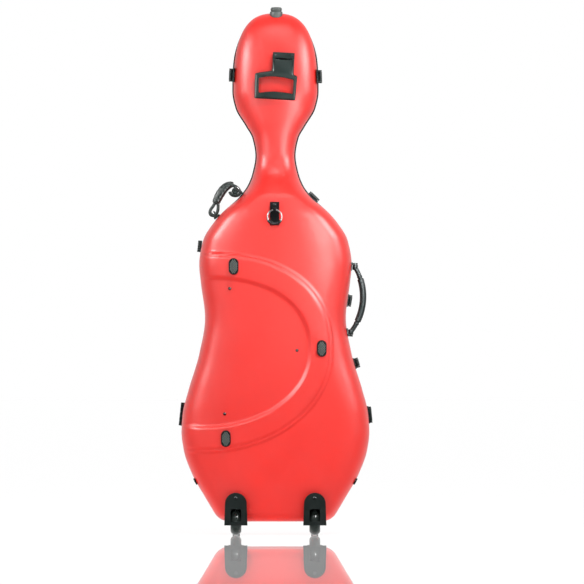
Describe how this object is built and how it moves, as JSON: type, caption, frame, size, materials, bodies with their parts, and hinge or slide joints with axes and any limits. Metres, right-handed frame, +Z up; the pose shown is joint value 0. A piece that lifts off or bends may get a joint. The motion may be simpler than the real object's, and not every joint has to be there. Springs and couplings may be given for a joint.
{
  "type": "cello case",
  "caption": "Upright hard-shell cello case with hinged lid, edge latches, wheels, carrying handles and a padded interior.",
  "frame": {"origin": "on the floor, under the middle of the closed case", "axes": "+Z up towards the head of the case, -Y out of the back shell that carries the wheels, +Y out of the lid, +X towards the latched side"},
  "size_m": [0.5042, 0.3088, 1.369],
  "materials": {
    "shell_red": "satin moulded ABS with a fine pebble grain",
    "rim_black": "extruded edge profile",
    "gasket": "soft seal",
    "plush": "short-pile plush on foam",
    "cushion": "velvet over foam",
    "handle_rubber": "moulded soft-touch rubber",
    "hardware_black": "glass-filled nylon, slightly glossy",
    "steel": "plated steel",
    "bright_steel": "polished steel ring",
    "pad_rubber": "cross-hatched anti-slip rubber",
    "bumper_rubber": "grey-black moulded rubber",
    "tyre": "polyurethane tread",
    "hub": "moulded nylon hub",
    "webbing": "woven strap"
  },
  "bodies": {
    "case": {"back_shell": "shell_red", "back_rim": "rim_black", "rim_gasket": "gasket", "back_lining": "plush", "crown_bumper": "bumper_rubber", "head_handle_base": "handle_rubber", "head_handle_pin": "steel", "head_handle_screws": "steel", "strap_lug": "hardware_black", "strap_lug_screws": "steel", "back_pads": "pad_rubber", "back_plugs": "hardware_black", "side_handle_brackets": "hardware_black", "side_handle_pins": "steel", "shoulder_handle_brackets": "hardware_black", "shoulder_handle_pins": "steel", "wheel_housing_left": "hardware_black", "wheel_housing_right": "hardware_black", "wheel_axles": "steel", "housing_screws": "steel", "front_feet": "bumper_rubber", "strap_anchors": "hardware_black", "hinge_body_leaves": "hardware_black", "hinge_pins": "steel", "latch_bases": "hardware_black", "latch_pins": "steel", "lower_bout_cushions": "cushion", "upper_bout_cushions": "cushion", "end_cushion": "cushion", "neck_cradle": "cushion", "neck_strap": "webbing", "scroll_cushion": "cushion"},
    "lid": {"lid_shell": "shell_red", "lid_rim": "rim_black", "lid_lining": "plush", "hinge_lid_leaves": "hardware_black", "latch_keepers": "hardware_black", "bow_spinner_studs": "steel", "bow_tip_pocket": "cushion", "accessory_pouch": "cushion"},
    "head_handle": {"head_handle_loop": "handle_rubber"},
    "strap_ring": {"strap_ring": "bright_steel", "strap_ring_sleeve": "pad_rubber"},
    "side_handle": {"side_handle_core": "handle_rubber", "side_handle_grip": "handle_rubber"},
    "shoulder_handle": {"shoulder_handle_core": "handle_rubber", "shoulder_handle_grip": "handle_rubber"},
    "wheel_left": {"wheel_tyre_left": "tyre", "wheel_hub_left": "hub"},
    "wheel_right": {"wheel_tyre_right": "tyre", "wheel_hub_right": "hub"},
    "lever_head_left": {"latch_head_left": "hardware_black"},
    "lever_head_right": {"latch_head_right": "hardware_black"},
    "lever_shoulder": {"latch_shoulder": "hardware_black"},
    "lever_waist": {"latch_waist": "hardware_black"},
    "lever_flank": {"latch_flank": "hardware_black"},
    "lever_bout": {"latch_bout": "hardware_black"},
    "bow_spinner_left": {"bow_spinner_left": "hardware_black"},
    "bow_spinner_right": {"bow_spinner_right": "hardware_black"}
  },
  "joints": [
    {"name": "lid_hinge", "type": "hinge", "parent": "case", "child": "lid", "pos_m": [-0.246, 0.0085, 0.309], "axis": [0.1057, 0, 0.9944], "range_deg": [0, 170]},
    {"name": "head_handle_swing", "type": "hinge", "parent": "case", "child": "head_handle", "pos_m": [0.021, -0.0885, 1.2286], "axis": [-0.9986, 0, 0.0523], "range_deg": [0, 90]},
    {"name": "strap_ring_swing", "type": "hinge", "parent": "case", "child": "strap_ring", "pos_m": [-0.002, -0.1465, 0.8415], "axis": [-1, 0, 0], "range_deg": [0, 150]},
    {"name": "side_handle_swing", "type": "hinge", "parent": "case", "child": "side_handle", "pos_m": [0.20107, -0.0515, 0.609], "axis": [-0.0684, 0, -0.9977], "range_deg": [-40, 70]},
    {"name": "shoulder_handle_swing", "type": "hinge", "parent": "case", "child": "shoulder_handle", "pos_m": [-0.12637, -0.0515, 0.86], "axis": [0.788, 0, 0.6157], "range_deg": [-60, 60]},
    {"name": "wheel_left_spin", "type": "hinge", "parent": "case", "child": "wheel_left", "pos_m": [-0.102, -0.1115, 0.035], "axis": [1, 0, 0], "continuous": true},
    {"name": "wheel_right_spin", "type": "hinge", "parent": "case", "child": "wheel_right", "pos_m": [0.102, -0.1115, 0.035], "axis": [1, 0, 0], "continuous": true},
    {"name": "latch_head_left_lift", "type": "hinge", "parent": "case", "child": "lever_head_left", "pos_m": [-0.11642, -0.0235, 1.1923], "axis": [0.0372, 0, 0.9993], "range_deg": [0, 100]},
    {"name": "latch_head_right_lift", "type": "hinge", "parent": "case", "child": "lever_head_right", "pos_m": [0.11656, -0.0235, 1.18825], "axis": [0.0313, 0, -0.9995], "range_deg": [0, 100]},
    {"name": "latch_shoulder_lift", "type": "hinge", "parent": "case", "child": "lever_shoulder", "pos_m": [0.10048, -0.0235, 0.8768], "axis": [0.7254, 0, -0.6884], "range_deg": [0, 100]},
    {"name": "latch_waist_lift", "type": "hinge", "parent": "case", "child": "lever_waist", "pos_m": [0.19403, -0.0235, 0.60596], "axis": [-0.149, 0, -0.9888], "range_deg": [0, 100]},
    {"name": "latch_flank_lift", "type": "hinge", "parent": "case", "child": "lever_flank", "pos_m": [0.21303, -0.0235, 0.44555], "axis": [0.2829, 0, -0.9591], "range_deg": [0, 100]},
    {"name": "latch_bout_lift", "type": "hinge", "parent": "case", "child": "lever_bout", "pos_m": [0.24617, -0.0235, 0.31049], "axis": [0.0973, 0, -0.9953], "range_deg": [0, 100]},
    {"name": "bow_spinner_left_turn", "type": "hinge", "parent": "lid", "child": "bow_spinner_left", "pos_m": [-0.034, 0.1429, 0.3], "axis": [0, 1, 0], "range_deg": [-90, 90]},
    {"name": "bow_spinner_right_turn", "type": "hinge", "parent": "lid", "child": "bow_spinner_right", "pos_m": [0.034, 0.1429, 0.3], "axis": [0, 1, 0], "range_deg": [-90, 90]}
  ]
}
